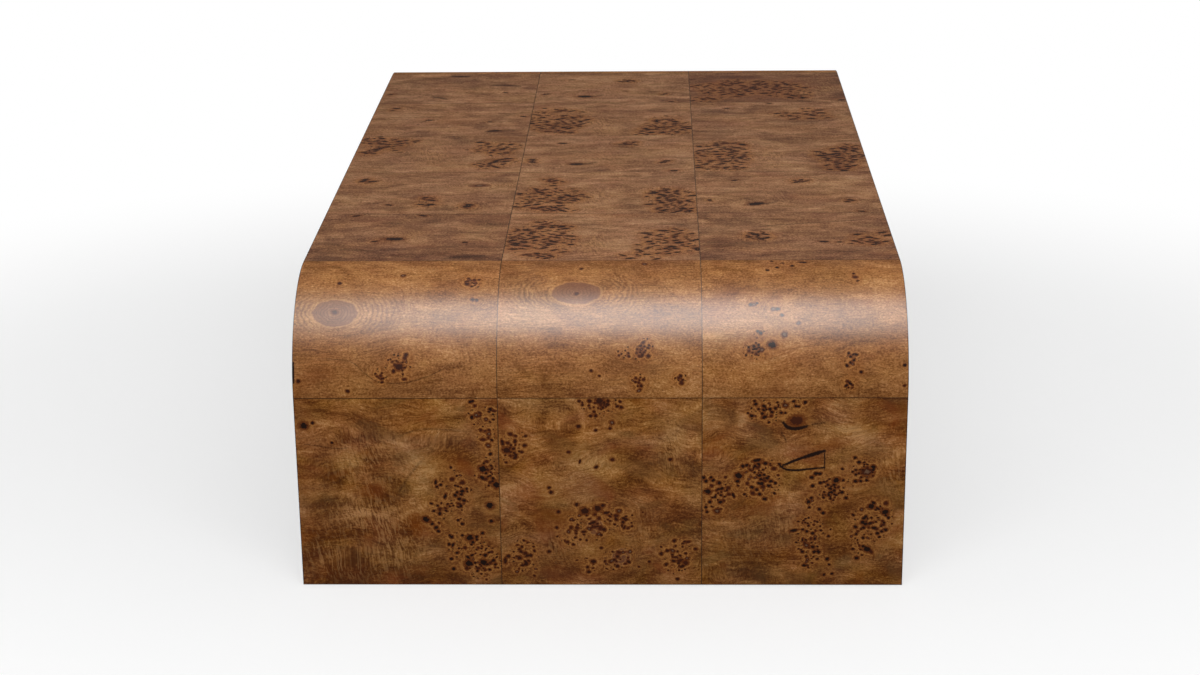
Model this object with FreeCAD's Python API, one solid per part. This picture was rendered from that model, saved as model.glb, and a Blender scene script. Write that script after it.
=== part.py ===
import FreeCAD, Part
import math
import os

# A waterfall coffee table: two legs, two quarter-round bends and a top, each a hollow-core
# panel of its own, joined by loose tongues and covered with leaves of burl veneer.
# Millimetres, +Z up. The origin is on the floor at the middle of the footprint, and +Y runs
# along the table, from the front leg to the back leg. The table is the same front to back,
# so the front half is modelled and the back half is its mirror image.

# Overall form
table_width = 813.0
table_length = 1372.0
table_height = 418.0
slab_thickness = 50.0
bend_radius = 144.0

# Veneer, laid in columns of leaves across the width and in rows along the top
column_names = ("left", "centre", "right")
top_leaf_row_count = 5
veneer_thickness = 0.7
arris_bevel = 0.5
arris_limit_share = 0.8

# Skins glued to both faces of the core
skin_thickness = 6.0

# Frame inside a leg
leg_rail_height = 60.0
leg_upright_count = 5
leg_upright_width = 40.0

# Frame and half-lapped rib grid inside the top
top_end_rail_width = 60.0
top_long_rail_count = 2
top_long_rail_width = 40.0
long_rib_count = 3
cross_rib_count = 4
rib_thickness = 12.0
lap_share = 0.5

# Formers and shaped end rails inside a bend
bend_former_count = 5
former_thickness = 18.0
bend_rail_thickness = 30.0
arc_shares = (0, 0.5, 1)

# Joinery: housings inside each frame, and a loose tongue across each joint between panels
housing_depth = 6.0
tongue_thickness = 9.0
tongue_width = 30.0
tongue_side_room = 0.1
tongue_edge_room = 1.0

# Feet
lipping_height = 8.0
glide_diameter = 25.0
glide_thickness = 4.0
glide_stand = 1.5
glide_chamfer = 0.8
glide_side_inset = 60.0
stem_diameter = 8.0
stem_length = 18.0
stem_chamfer = 1.0
stem_end_room = 1.0
glide_clearance = 0.1

# How far a cutting solid runs past what it cuts, and how near counts as touching
overrun = 1.0
touching = 0.001

# Places that follow from the sizes above
half_width = table_width / 2
half_length = table_length / 2
leaf_width = table_width / len(column_names)
inside_half_width = half_width - veneer_thickness
bend_axis_y = bend_radius - half_length
bend_axis_z = table_height - bend_radius
leaf_row_length = -2 * bend_axis_y / top_leaf_row_count
foot_z = glide_stand
lipping_top_z = foot_z + lipping_height

# Depths of the layers, counted inwards from the outer face of the slab
skin_depth = veneer_thickness
core_depth = skin_depth + skin_thickness
core_thickness = slab_thickness - 2 * core_depth
inner_skin_depth = core_depth + core_thickness
inner_veneer_depth = slab_thickness - veneer_thickness
core_middle_depth = slab_thickness / 2
core_depths = (core_depth, inner_skin_depth)

# Ranges that many pieces share
full_width = (-half_width, half_width)
inside_width = (-inside_half_width, inside_half_width)
leg_height = (foot_z, bend_axis_z)
leg_panel_height = (lipping_top_z, bend_axis_z)
top_length = (bend_axis_y, -bend_axis_y)


def point(x, y, z):
    return FreeCAD.Vector(x, y, z)


def block(x_range, y_range, z_range):
    """A box between two planes along each axis."""
    size = [high - low for low, high in (x_range, y_range, z_range)]
    return Part.makeBox(*size, point(x_range[0], y_range[0], z_range[0]))


def leg_layer(x_range, depth_range, z_range):
    """A layer of the front leg, between two depths below its outer face."""
    y_range = [depth - half_length for depth in depth_range]
    return block(x_range, y_range, z_range)


def top_layer(x_range, y_range, depth_range):
    """A layer of the top, between two depths below its outer face."""
    z_range = [table_height - depth for depth in reversed(depth_range)]
    return block(x_range, y_range, z_range)


def bend_point(radius, turn_share):
    """A point on the front bend, some share of the turn from the leg joint to the top joint."""
    angle = turn_share * math.pi / 2
    y = bend_axis_y - radius * math.cos(angle)
    z = bend_axis_z + radius * math.sin(angle)
    return point(0, y, z)


def bend_layer(x_range, depth_range):
    """A quarter-round layer of the front bend, from the leg joint to the top joint."""
    outer, inner = [bend_radius - depth for depth in depth_range]
    outer_start, outer_middle, outer_end = [bend_point(outer, turn) for turn in arc_shares]
    inner_start, inner_middle, inner_end = [bend_point(inner, turn) for turn in arc_shares]
    edges = [
        Part.Arc(outer_start, outer_middle, outer_end).toShape(),
        Part.makeLine(outer_end, inner_end),
        Part.Arc(inner_end, inner_middle, inner_start).toShape(),
        Part.makeLine(inner_start, outer_start),
    ]
    section = Part.Face(Part.Wire(edges))
    section.translate(point(x_range[0], 0, 0))
    return section.extrude(point(x_range[1] - x_range[0], 0, 0))


def spaced_ranges(low, high, count, size):
    """Ranges of equal pieces, the outer two flush with low and high."""
    pitch = (high - low - size) / (count - 1)
    starts = [low + index * pitch for index in range(count)]
    return [(start, start + size) for start in starts]


def inner_ranges(low, high, count, size):
    """Ranges of equal pieces, evenly spread with the same gap at both ends."""
    pitch = (high - low) / (count + 1)
    middles = [low + (index + 1) * pitch for index in range(count)]
    return [(middle - size / 2, middle + size / 2) for middle in middles]


def cut_all(solid, tools):
    for tool in tools:
        solid = solid.cut(tool)
    return solid


def mirrored(solids):
    """The same pieces in the back half of the table."""
    return [solid.mirror(point(0, 0, 0), point(0, 1, 0)) for solid in solids]


def save(node, solids):
    shape = solids[0] if len(solids) == 1 else Part.makeCompound(solids)
    shape.exportStep(f"parts/{node}.step")


def save_front_and_back(node, solids):
    save(f"front_{node}", solids)
    save(f"back_{node}", mirrored(solids))


# Veneer leaves


def outer_face_depth(place):
    """Depth of a point below the outer face of the front leg, the front bend or the top."""
    if place.z < bend_axis_z:
        return place.y + half_length
    if place.y > bend_axis_y:
        return table_height - place.z
    reach = math.hypot(place.y - bend_axis_y, place.z - bend_axis_z)
    return bend_radius - reach


def is_outer_arris(edge):
    """True where the outer face meets a side of the table or the underside of the foot."""
    middle = edge.valueAt((edge.FirstParameter + edge.LastParameter) / 2)
    at_side = abs(abs(middle.x) - half_width) < touching
    at_foot = abs(middle.z - foot_z) < touching
    return (at_side or at_foot) and abs(outer_face_depth(middle)) < touching


def eased(leaf):
    """Takes off the leaf's sharp arrises that a hand would meet."""
    edges = [edge for edge in leaf.Edges if is_outer_arris(edge)]
    if not edges:
        return leaf
    bevel = min(arris_bevel, arris_limit_share * veneer_thickness)
    return leaf.makeChamfer(bevel, edges)


def make_leaves():
    leaf_depths = (0, veneer_thickness)
    for column, column_name in enumerate(column_names):
        left = column * leaf_width - half_width
        x_range = (left, left + leaf_width)
        leg_leaf = leg_layer(x_range, leaf_depths, (foot_z, bend_axis_z))
        save_front_and_back(f"leg_leaf_{column_name}", [eased(leg_leaf)])
        bend_leaf = bend_layer(x_range, leaf_depths)
        save_front_and_back(f"bend_leaf_{column_name}", [eased(bend_leaf)])
        for row in range(top_leaf_row_count):
            near = bend_axis_y + row * leaf_row_length
            top_leaf = top_layer(x_range, (near, near + leaf_row_length), leaf_depths)
            save(f"top_leaf_{row + 1}_{column_name}", [eased(top_leaf)])


# Plain veneer on the inner faces and on the edges of the slab


def make_inner_veneers():
    depths = (inner_veneer_depth, slab_thickness)
    save_front_and_back("leg_inner_veneer", [leg_layer(full_width, depths, leg_height)])
    save_front_and_back("bend_inner_veneer", [bend_layer(full_width, depths)])
    save("top_underside_veneer", [top_layer(full_width, top_length, depths)])


def make_edge_veneers():
    depths = (skin_depth, inner_veneer_depth)
    sides = {
        "left": (-half_width, -inside_half_width),
        "right": (inside_half_width, half_width),
    }
    for side, x_range in sides.items():
        leg_edge = leg_layer(x_range, depths, leg_height)
        bend_edge = bend_layer(x_range, depths)
        top_edge = top_layer(x_range, top_length, depths)
        front_edges = [leg_edge, bend_edge]
        save(f"{side}_edge_veneer", front_edges + [top_edge] + mirrored(front_edges))


# Skins


def make_skins():
    layers = {
        "outer": (skin_depth, core_depth),
        "inner": (inner_skin_depth, inner_veneer_depth),
    }
    for face, depths in layers.items():
        leg_skin = leg_layer(inside_width, depths, leg_panel_height)
        save_front_and_back(f"leg_{face}_skin", [leg_skin])
        save_front_and_back(f"bend_{face}_skin", [bend_layer(inside_width, depths)])
        save(f"top_{face}_skin", [top_layer(inside_width, top_length, depths)])


# Loose tongues across the joint between leg and bend, and between bend and top


def tongue_blocks(side_room, edge_room):
    """The two tongues of the front half, with room added around them for their grooves."""
    half_thickness = tongue_thickness / 2 + side_room
    half_reach = tongue_width / 2 + edge_room
    depths = (core_middle_depth - half_thickness, core_middle_depth + half_thickness)
    leg_reach = (bend_axis_z - half_reach, bend_axis_z + half_reach)
    top_reach = (bend_axis_y - half_reach, bend_axis_y + half_reach)
    leg_tongue = leg_layer(inside_width, depths, leg_reach)
    top_tongue = top_layer(inside_width, top_reach, depths)
    return [leg_tongue, top_tongue]


def grooves():
    return tongue_blocks(tongue_side_room, tongue_edge_room)


def make_tongues():
    front_tongues = tongue_blocks(0, 0)
    save("tongues", front_tongues + mirrored(front_tongues))


# Feet: lippings and push-in glides


def glide_middles():
    """Middle of each glide of the front leg, on the floor."""
    y = core_middle_depth - half_length
    x = half_width - glide_side_inset
    return [point(-x, y, 0), point(x, y, 0)]


def upright_cylinder(diameter, middle, z_from, z_to):
    start = point(middle.x, middle.y, z_from)
    return Part.makeCylinder(diameter / 2, z_to - z_from, start)


def glide(middle):
    """A moulded disc with a chamfered rim and a stem that is pushed into the foot."""
    stem_top_z = glide_thickness + stem_length
    disc = upright_cylinder(glide_diameter, middle, 0, glide_thickness)
    rim = [edge for edge in disc.Edges if abs(edge.BoundBox.ZMax) < touching]
    stem = upright_cylinder(stem_diameter, middle, 0, stem_top_z)
    tip = [edge for edge in stem.Edges if abs(edge.BoundBox.ZMin - stem_top_z) < touching]
    disc = disc.makeChamfer(glide_chamfer, rim)
    stem = stem.makeChamfer(stem_chamfer, tip)
    return disc.fuse(stem).removeSplitter()


def glide_seats():
    """The recess and the bore that take each glide of the front leg."""
    recess_diameter = glide_diameter + 2 * glide_clearance
    bore_diameter = stem_diameter + 2 * glide_clearance
    bore_top_z = glide_thickness + stem_length + stem_end_room
    seats = []
    for middle in glide_middles():
        seats.append(upright_cylinder(recess_diameter, middle, 0, glide_thickness))
        seats.append(upright_cylinder(bore_diameter, middle, 0, bore_top_z))
    return seats


def make_feet():
    lipping_depths = (skin_depth, inner_veneer_depth)
    lipping = leg_layer(inside_width, lipping_depths, (foot_z, lipping_top_z))
    lipping = cut_all(lipping, glide_seats())
    glides = [glide(middle) for middle in glide_middles()]
    save("foot_lippings", [lipping] + mirrored([lipping]))
    save("glides", glides + mirrored(glides))


# Frame inside the legs


def make_leg_frame():
    low_rail_top_z = lipping_top_z + leg_rail_height
    high_rail_base_z = bend_axis_z - leg_rail_height
    low_rail = leg_layer(inside_width, core_depths, (lipping_top_z, low_rail_top_z))
    high_rail = leg_layer(inside_width, core_depths, (high_rail_base_z, bend_axis_z))
    upright_height = (low_rail_top_z - housing_depth, high_rail_base_z + housing_depth)
    stations = spaced_ranges(*inside_width, leg_upright_count, leg_upright_width)
    uprights = [leg_layer(x_range, core_depths, upright_height) for x_range in stations]
    low_rail = cut_all(low_rail, uprights + glide_seats())
    high_rail = cut_all(high_rail, uprights + grooves())
    save_front_and_back("leg_rails", [low_rail, high_rail])
    save_front_and_back("leg_uprights", uprights)


# Formers and end rails inside the bends


def make_bend_frame():
    whole_core = bend_layer(inside_width, core_depths)
    low_rail_top_z = bend_axis_z + bend_rail_thickness
    high_rail_base_y = bend_axis_y - bend_rail_thickness
    everywhere_y = (-half_length - overrun, bend_axis_y + overrun)
    everywhere_z = (bend_axis_z - overrun, table_height + overrun)
    low_zone = block(full_width, everywhere_y, (bend_axis_z - overrun, low_rail_top_z))
    high_zone = block(full_width, (high_rail_base_y, bend_axis_y + overrun), everywhere_z)
    between_rails = block(
        full_width,
        (-half_length - overrun, high_rail_base_y + housing_depth),
        (low_rail_top_z - housing_depth, table_height + overrun),
    )
    stations = spaced_ranges(*inside_width, bend_former_count, former_thickness)
    rings = [bend_layer(x_range, core_depths) for x_range in stations]
    formers = [ring.common(between_rails) for ring in rings]
    low_rail = cut_all(whole_core.common(low_zone), formers + grooves())
    high_rail = cut_all(whole_core.common(high_zone), formers + grooves())
    save_front_and_back("bend_end_rails", [low_rail, high_rail])
    save_front_and_back("bend_formers", formers)


# Frame and half-lapped rib grid inside the top


def make_top_frame():
    near_y = bend_axis_y
    inner_near_y = near_y + top_end_rail_width
    inner_left_x = -inside_half_width + top_long_rail_width
    rail_ends = (inner_near_y - housing_depth, housing_depth - inner_near_y)
    rib_ends = (inner_left_x - housing_depth, housing_depth - inner_left_x)
    side_stations = spaced_ranges(*inside_width, top_long_rail_count, top_long_rail_width)
    long_stations = inner_ranges(inner_left_x, -inner_left_x, long_rib_count, rib_thickness)
    cross_stations = inner_ranges(inner_near_y, -inner_near_y, cross_rib_count, rib_thickness)
    lap_depth = core_depth + lap_share * core_thickness

    long_rails = [top_layer(x_range, rail_ends, core_depths) for x_range in side_stations]
    long_pieces = [top_layer(x_range, rail_ends, core_depths) for x_range in long_stations]
    cross_pieces = [top_layer(rib_ends, y_range, core_depths) for y_range in cross_stations]

    upper_notch_depths = (core_depth - overrun, lap_depth)
    lower_notch_depths = (lap_depth, inner_skin_depth + overrun)
    upper_notches = [
        top_layer(full_width, y_range, upper_notch_depths) for y_range in cross_stations
    ]
    lower_notches = [
        top_layer(x_range, top_length, lower_notch_depths) for x_range in long_stations
    ]
    notched_long = [cut_all(piece, upper_notches) for piece in long_pieces]
    notched_cross = [cut_all(piece, lower_notches) for piece in cross_pieces]

    near_rail = top_layer(inside_width, (near_y, inner_near_y), core_depths)
    near_rail = cut_all(near_rail, long_rails + long_pieces + grooves())
    housed_long_rails = [cut_all(rail, cross_pieces) for rail in long_rails]
    save("top_end_rails", [near_rail] + mirrored([near_rail]))
    save("top_long_rails", housed_long_rails)
    save("top_long_ribs", notched_long)
    save("top_cross_ribs", notched_cross)


os.makedirs("parts", exist_ok=True)
make_leaves()
make_inner_veneers()
make_edge_veneers()
make_skins()
make_leg_frame()
make_bend_frame()
make_top_frame()
make_tongues()
make_feet()
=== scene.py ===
import math
from collections import namedtuple

import bpy
import numpy as np
from mathutils import Matrix, Vector
from mathutils.geometry import delaunay_2d_cdt


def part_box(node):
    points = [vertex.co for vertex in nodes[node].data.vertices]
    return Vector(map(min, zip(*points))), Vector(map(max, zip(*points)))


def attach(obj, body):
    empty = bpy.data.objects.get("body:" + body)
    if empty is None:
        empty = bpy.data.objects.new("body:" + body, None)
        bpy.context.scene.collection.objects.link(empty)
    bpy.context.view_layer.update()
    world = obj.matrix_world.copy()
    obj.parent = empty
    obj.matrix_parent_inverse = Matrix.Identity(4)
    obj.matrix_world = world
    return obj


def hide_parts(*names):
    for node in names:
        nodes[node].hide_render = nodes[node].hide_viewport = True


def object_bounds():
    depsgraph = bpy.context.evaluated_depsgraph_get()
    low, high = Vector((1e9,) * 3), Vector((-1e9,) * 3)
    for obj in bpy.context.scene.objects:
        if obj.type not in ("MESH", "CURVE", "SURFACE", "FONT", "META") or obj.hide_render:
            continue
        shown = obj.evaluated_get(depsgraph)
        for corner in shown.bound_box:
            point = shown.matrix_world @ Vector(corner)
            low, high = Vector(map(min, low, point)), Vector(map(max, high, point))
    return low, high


# A waterfall coffee table in burl veneer. The scene's own pieces are the leaves of veneer, the
# inner and edge veneers and the glides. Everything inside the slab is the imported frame's.
# Objects are in metres. The veneer is drawn in millimetres on the unrolled slab: across the
# table from its middle, along the slab from the front foot over the top to the back foot, and
# in depth below the outer face.

mm = 0.001

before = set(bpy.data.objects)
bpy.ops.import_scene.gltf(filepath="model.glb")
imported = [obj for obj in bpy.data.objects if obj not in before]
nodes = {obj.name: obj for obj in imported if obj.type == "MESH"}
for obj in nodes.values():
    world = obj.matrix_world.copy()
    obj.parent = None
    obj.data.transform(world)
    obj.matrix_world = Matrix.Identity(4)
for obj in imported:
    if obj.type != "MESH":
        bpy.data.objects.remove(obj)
cad_low, cad_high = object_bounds()

# Sizes of the slab, taken from the frame
half_width = cad_high.x / mm
half_length = cad_high.y / mm
table_height = cad_high.z / mm
foot_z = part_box("front_leg_leaf_left")[0].z / mm
bend_low, bend_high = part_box("front_bend_leaf_left")
bend_radius = (bend_high.z - bend_low.z) / mm
veneer_thickness = (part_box("front_leg_leaf_left")[1].y + cad_high.y) / mm
slab_thickness = (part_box("front_leg_inner_veneer")[1].y + cad_high.y) / mm
column_names = ("left", "centre", "right")
leaf_width = 2 * half_width / len(column_names)
top_row_count = 5

# Lengths along the unrolled slab
half_top = half_length - bend_radius
leg_run = table_height - bend_radius - foot_z
bend_run = bend_radius * math.pi / 2
top_row_run = 2 * half_top / top_row_count
front_run = leg_run + bend_run
slab_run = 2 * (front_run + half_top)

# The leaf's edges: a rounded arris where a hand would meet it, and an eased edge at a seam
arris_radius = 0.5
arris_arc = arris_radius * math.pi / 2
arris_steps = (0, 0.25, 0.5, 0.75, 1)
# How much further, in millimetres, the painted shade of the seams reaches onto a rounded arris
arris_shade = 0.35
steepest_lean = 0.98
seam_gap = 0.05
groove_width = 0.25
groove_depth = 0.12
rim_steps = (0.9, 1.8)
rim_clearance = 1.2
grid_pitch = 5.5


def on_slab(across, along, depth):
    """Places in millimetres, and outward normals, of points on the unrolled slab."""
    across, along, depth = np.broadcast_arrays(across, along, depth)
    from_foot = np.minimum(along, slab_run - along)
    side = np.where(along <= slab_run / 2, -1.0, 1.0)
    turn = np.clip((from_foot - leg_run) / bend_radius, 0, math.pi / 2)
    over = np.clip(from_foot - front_run, 0, None)
    reach = bend_radius - depth
    y = side * (half_top + reach * np.cos(turn) - over)
    z = foot_z + np.minimum(from_foot, leg_run) + reach * np.sin(turn)
    return columns(across, y, z), columns(0, side * np.cos(turn), np.sin(turn))


def columns(*parts):
    """A table with these numbers or lists as its columns."""
    return np.stack(np.broadcast_arrays(*parts), -1)


def add_object(name, data):
    made = bpy.data.objects.new(name, data)
    bpy.context.scene.collection.objects.link(made)
    return made


def mesh_object(name, places, faces, corner_normals, attributes):
    """A mesh object from places in millimetres, with a normal for each face corner."""
    mesh = bpy.data.meshes.new(name)
    mesh.from_pydata((np.asarray(places) * mm).tolist(), [], faces)
    mesh.polygons.foreach_set("use_smooth", [True] * len(faces))
    mesh.normals_split_custom_set(corner_normals)
    for key, values in attributes.items():
        layer = mesh.attributes.new(key, "FLOAT_VECTOR", "POINT")
        layer.data.foreach_set("vector", np.asarray(values, np.float32).ravel())
    return add_object(name, mesh)


def flat_normals(places, face):
    """The normal of one flat face, once for each of its corners."""
    corners = places[list(face)]
    normal = np.cross(corners, np.roll(corners, -1, axis=0)).sum(0)
    return [tuple(normal / np.linalg.norm(normal))] * len(face)


def finish_piece(piece, material, replaced):
    piece.data.materials.append(material)
    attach(piece, "root")
    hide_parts(replaced)


# Marks in the veneer. Places and reaches are shares of the leaf: across from its
# left side and along from its front or lower side. Eyes are named by their form. A cluster has
# its middle, its reach and how many small eyes it holds, and a knot its middle, its reach and
# the strength of the rings round it. A line has its points, half its width in millimetres and
# how dark it is. A patch has its middle, its reach, how far it leans to rust and how much
# lighter it is, and a feather its middle, its reach and its strength.

# Half the length of an eye across and along the leaf in millimetres, and its kind:
# 0 is near black, 0.5 is rust brown, 1 is grey with a dark ring
eye_forms = {
    "dots": (1.9, 1.6, 0.0),
    "big": (3.6, 3.0, 0.0),
    "long": (1.4, 2.9, 0.0),
    "wide": (4.2, 1.6, 0.0),
    "ringed": (2.7, 2.3, 1.0),
    "rust": (2.4, 1.9, 0.5),
    "knot": (6.6, 4.8, 0.5),
    "opal": (5.2, 3.8, 1.0),
}

leg_left = {
    "level": .02,
    "dots": [
        (.09, .872), (.69, .532), (.71, .542), (.78, .487), (.81, .492), (.8, .467), (.79, .502),
        (.66, .442), (.69, .432), (.67, .402), (.7, .387), (.66, .332), (.68, .312), (.69, .292),
        (.79, .352), (.81, .332), (.755, .262), (.88, .262), (.88, .247), (.86, .232), (.91, .282),
        (.75, .142), (.76, .087), (.85, .112), (.93, .112), (.96, .132), (.97, .112), (.94, .082),
        (.92, .162), (.955, .347), (.97, .577), (.96, .707), (.965, .942), (.88, .985), (.87, .982),
        (.18, .767),
    ],
    "big": [
        (.045, .857), (.63, .357), (.845, .257), (.835, .117), (.91, .122), (.985, .542),
        (.92, .627), (.95, .432),
    ],
    "long": [(.685, .557), (.73, .482), (.76, .217)],
    "ringed": [(.95, .752), (.955, .812), (.895, .912)],
    "clusters": [
        (.87, .142, .11, .09, 26), (.76, .412, .1, .13, 18), (.95, .892, .06, .1, 12),
        (.95, .632, .05, .1, 10),
    ],
    "lines": [
        ([(0, .762), (.08, .757), (.2, .732), (.3, .747)], 1.2, .45),
        ([(.45, .772), (.6, .842), (.75, .837), (.9, .822)], 2.5, .4),
        ([(.48, .462), (.54, .572), (.6, .652), (.66, .712)], 3.0, .4),
        ([(.93, .622), (.97, .642), (.998, .637)], 1.0, .6),
    ],
    "patches": [
        # The first patch, a dark band across the foot of the front leg, is painted shade: the leg
        # darker towards the floor
        (.5, .012, .9, .3, 0, -.65), (.8, .672, .08, .07, .5, -.2), (.52, .562, .05, .16, .1, -.5),
        (.3, .392, .18, .08, -.1, .45), (.47, .192, .16, .13, 0, .45),
        (.3, .662, .22, .12, 0, -.15), (.15, .912, .2, .1, 0, .25), (.1, .362, .1, .3, 0, -.25),
        (.04, .55, .1, .4, .45, -.1), (.2, .1, .3, .12, .35, -.1),
    ],
    "feathers": [
        (.33, .382, .18, .08, 1.2), (.47, .202, .17, .14, 1.1), (.2, .112, .15, .09, .7),
        (.35, .662, .2, .17, .9), (.1, .212, .1, .1, .6),
    ],
}

leg_centre = {
    "level": .05,
    "redness": .3,
    "dots": [
        (.4, .985), (.45, .985), (.54, .985), (.6, .982), (.585, .957), (.605, .952), (.455, .907),
        (.48, .907), (.395, .852), (.48, .832), (.55, .842), (.13, .752), (.115, .717),
        (.085, .702), (.035, .662), (.135, .802), (.48, .637), (.845, .677), (.245, .527),
        (.255, .502), (.38, .437), (.51, .432), (.29, .397), (.28, .312), (.115, .242), (.24, .182),
        (.035, .157), (.43, .097), (.58, .102), (.5, .202), (.74, .127), (.83, .187), (.87, .212),
        (.92, .172), (.97, .197), (.88, .032),
    ],
    "big": [(.5, .985), (.04, .727), (.42, .402), (.485, .417), (.46, .127)],
    "long": [(.02, .767), (.4, .667), (.605, .322), (.615, .312), (.02, .132)],
    "ringed": [(.56, .872), (.59, .402)],
    "rust": [(.06, .812), (.345, .717), (.56, .677), (.12, .172), (.89, .132), (.47, .317)],
    "clusters": [
        (.44, .382, .2, .08, 22), (.46, .282, .14, .07, 12), (.06, .732, .07, .08, 10),
        (.5, .962, .12, .05, 10), (.1, .152, .1, .08, 14), (.9, .142, .09, .08, 16),
        (.58, .142, .14, .08, 14),
    ],
    "knots": [(.6, .152, .045, .045, .6), (.47, .317, .04, .04, .5)],
    "lines": [([(.62, .482), (.72, .412), (.83, .372)], 2.0, .25)],
    "patches": [
        # The first patch, a dark band across the foot of the front leg, is painted shade: the leg
        # darker towards the floor
        (.5, .012, .9, .3, 0, -.65), (.2, .512, .1, .07, .55, -.1), (.25, .512, .04, .04, -.2, .6),
        (.6, .152, .08, .06, -.5, -.3), (.86, .732, .1, .15, -.1, .3),
        (.5, .312, .25, .12, .25, -.25), (.75, .462, .15, .2, 0, -.1), (.3, .862, .25, .1, 0, .15),
    ],
    "feathers": [(.86, .732, .08, .14, 1), (.3, .212, .12, .1, .6), (.7, .312, .1, .1, .6)],
}

leg_right = {
    "level": .02,
    "dots": [
        (.255, .985), (.26, .967), (.275, .942), (.33, .942), (.3, .957), (.385, .922),
        (.445, .982), (.5, .977), (.455, .957), (.24, .907), (.325, .872), (.38, .652),
        (.085, .552), (.1, .522), (.095, .487), (.02, .422), (.04, .452), (.025, .397),
        (.045, .582), (.02, .562), (.2, .642), (.22, .647), (.26, .642), (.31, .657), (.175, .562),
        (.29, .572), (.32, .577), (.34, .562), (.33, .537), (.27, .517), (.21, .492), (.285, .492),
        (.31, .467), (.54, .582), (.56, .602), (.58, .602), (.545, .537), (.6, .557), (.62, .542),
        (.695, .567), (.69, .627), (.54, .472), (.525, .452), (.53, .422), (.58, .412), (.6, .392),
        (.65, .512), (.69, .502), (.71, .472), (.64, .502), (.75, .687), (.77, .662), (.74, .612),
        (.755, .597), (.84, .622), (.755, .562), (.78, .562), (.81, .567), (.81, .372), (.8, .362),
        (.795, .342), (.81, .332), (.76, .317), (.8, .312), (.765, .277), (.8, .257), (.87, .282),
        (.89, .292), (.91, .302), (.88, .262), (.8, .212), (.75, .197), (.77, .147), (.5, .302),
        (.52, .292), (.55, .282), (.56, .252), (.56, .182), (.58, .182), (.5, .182), (.52, .157),
        (.575, .142), (.625, .142), (.635, .112), (.61, .057), (.65, .062),
    ],
    "big": [(.03, .507), (.18, .592), (.835, .427), (.905, .397), (.82, .197), (.66, .567)],
    "long": [(.155, .487), (.5, .247)],
    "wide": [(.27, .672), (.455, .297)],
    "ringed": [(.075, .402), (.52, .217), (.405, .962)],
    "opal": [(.81, .612)],
    "clusters": [
        (.06, .492, .07, .11, 16), (.26, .582, .1, .11, 24), (.62, .502, .1, .11, 22),
        (.83, .312, .1, .13, 24), (.79, .612, .07, .07, 10), (.54, .212, .08, .12, 18),
        (.34, .952, .12, .05, 12),
    ],
    "knot": [(.46, .882)],
    "lines": [
        ([(.385, .637), (.41, .652), (.48, .682), (.6, .724)], 1.3, 2),
        ([(.5, .688), (.55, .706), (.6, .722)], 1.9, 2),
        ([(.38, .65), (.4, .624), (.46, .618), (.52, .626), (.6, .634)], 1.0, 2),
        ([(.6, .628), (.602, .672), (.6, .722)], .55, 2),
        ([(.395, .872), (.41, .85), (.44, .838), (.475, .84), (.51, .852)], 1.7, 2),
        ([(.385, .842), (.39, .812), (.41, .782), (.415, .757)], 1.6, .5),
        ([(.51, .852), (.56, .867), (.62, .872)], 2.0, .45),
    ],
    "patches": [
        # The first patch, a dark band across the foot of the front leg, is painted shade: the leg
        # darker towards the floor; its lean to olive is the veneer's own colour
        (.5, .012, .9, .3, -.2, -.7), (.35, .812, .12, .06, 0, -.5), (.15, .262, .2, .15, 0, -.1),
        (.4, .412, .06, .2, -.1, .35), (.5, .692, .12, .06, -.1, .4),
        (.93, .562, .05, .2, -.1, .35), (.8, .862, .18, .1, .1, .1), (.1, .762, .1, .15, .2, -.2),
    ],
    "feathers": [(.93, .612, .06, .14, .8), (.2, .262, .2, .15, .5), (.42, .412, .06, .15, .7)],
}

bend_left = {
    # The bend's higher level is its own lighter tone and, in part, a painted warm sheen where the
    # bend turns to the light
    "level": .08,
    "redness": .3,
    "dots": [(.21, .735), (.875, .605), (.895, .6), (.27, .045), (.03, .105)],
    "ringed": [(.52, .805)],
    "big": [(.525, .19)],
    "rust": [(.2, .52)],
    "clusters": [(.875, .745, .045, .05, 11), (.53, .195, .055, .085, 14), (.42, .14, .03, .04, 7)],
    "knots": [(.2, .515, .112, .09, 1)],
    "lines": [
        ([(0, .235), (.12, .24), (.22, .235), (.3, .22), (.36, .145), (.42, .095), (.55, .09),
          (.68, .135), (.8, .225), (.88, .275)], .9, .5),
        ([(.1, .365), (.3, .375), (.48, .415), (.6, .485)], .8, .35),
        ([(.005, .105), (.004, .155), (.006, .205)], 1.2, 2),
    ],
    "patches": [
        (.5, 1, .9, .11, 0, -.4), (.12, .135, .12, .07, .1, -.35), (.7, .885, .25, .1, 0, .15),
        (.45, .535, .2, .06, -.25, .25), (.6, .335, .2, .08, .2, .1),
    ],
    "feathers": [(.56, .615, .06, .1, .8), (.85, .285, .1, .08, .5)],
}

bend_centre = {
    # The bend's higher level is its own lighter tone and, in part, a painted warm sheen where the
    # bend turns to the light
    "level": .08,
    "redness": .3,
    "dots": [(.405, .875), (.46, .165), (.5, .135), (.895, .135), (.905, .11)],
    "ringed": [(.72, .935)],
    "rust": [(.385, .645)],
    "clusters": [
        (.71, .325, .045, .085, 15), (.61, .275, .04, .035, 7), (.69, .095, .05, .055, 10),
        (.9, .12, .025, .03, 5),
    ],
    "knots": [(.385, .655, .12, .085, 1)],
    "lines": [
        ([(.98, .555), (.87, .615), (.82, .695), (.8, .775)], 1.0, .3),
        ([(0, .555), (.12, .565), (.25, .535)], .9, .2),
    ],
    "patches": [
        (.5, 1, .9, .11, 0, -.4), (.5, .185, .3, .08, .1, -.1), (.2, .285, .15, .1, 0, .1),
        (.8, .835, .15, .1, 0, .1),
    ],
    "feathers": [(.6, .755, .07, .12, .8), (.16, .655, .06, .12, .8)],
}

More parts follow.
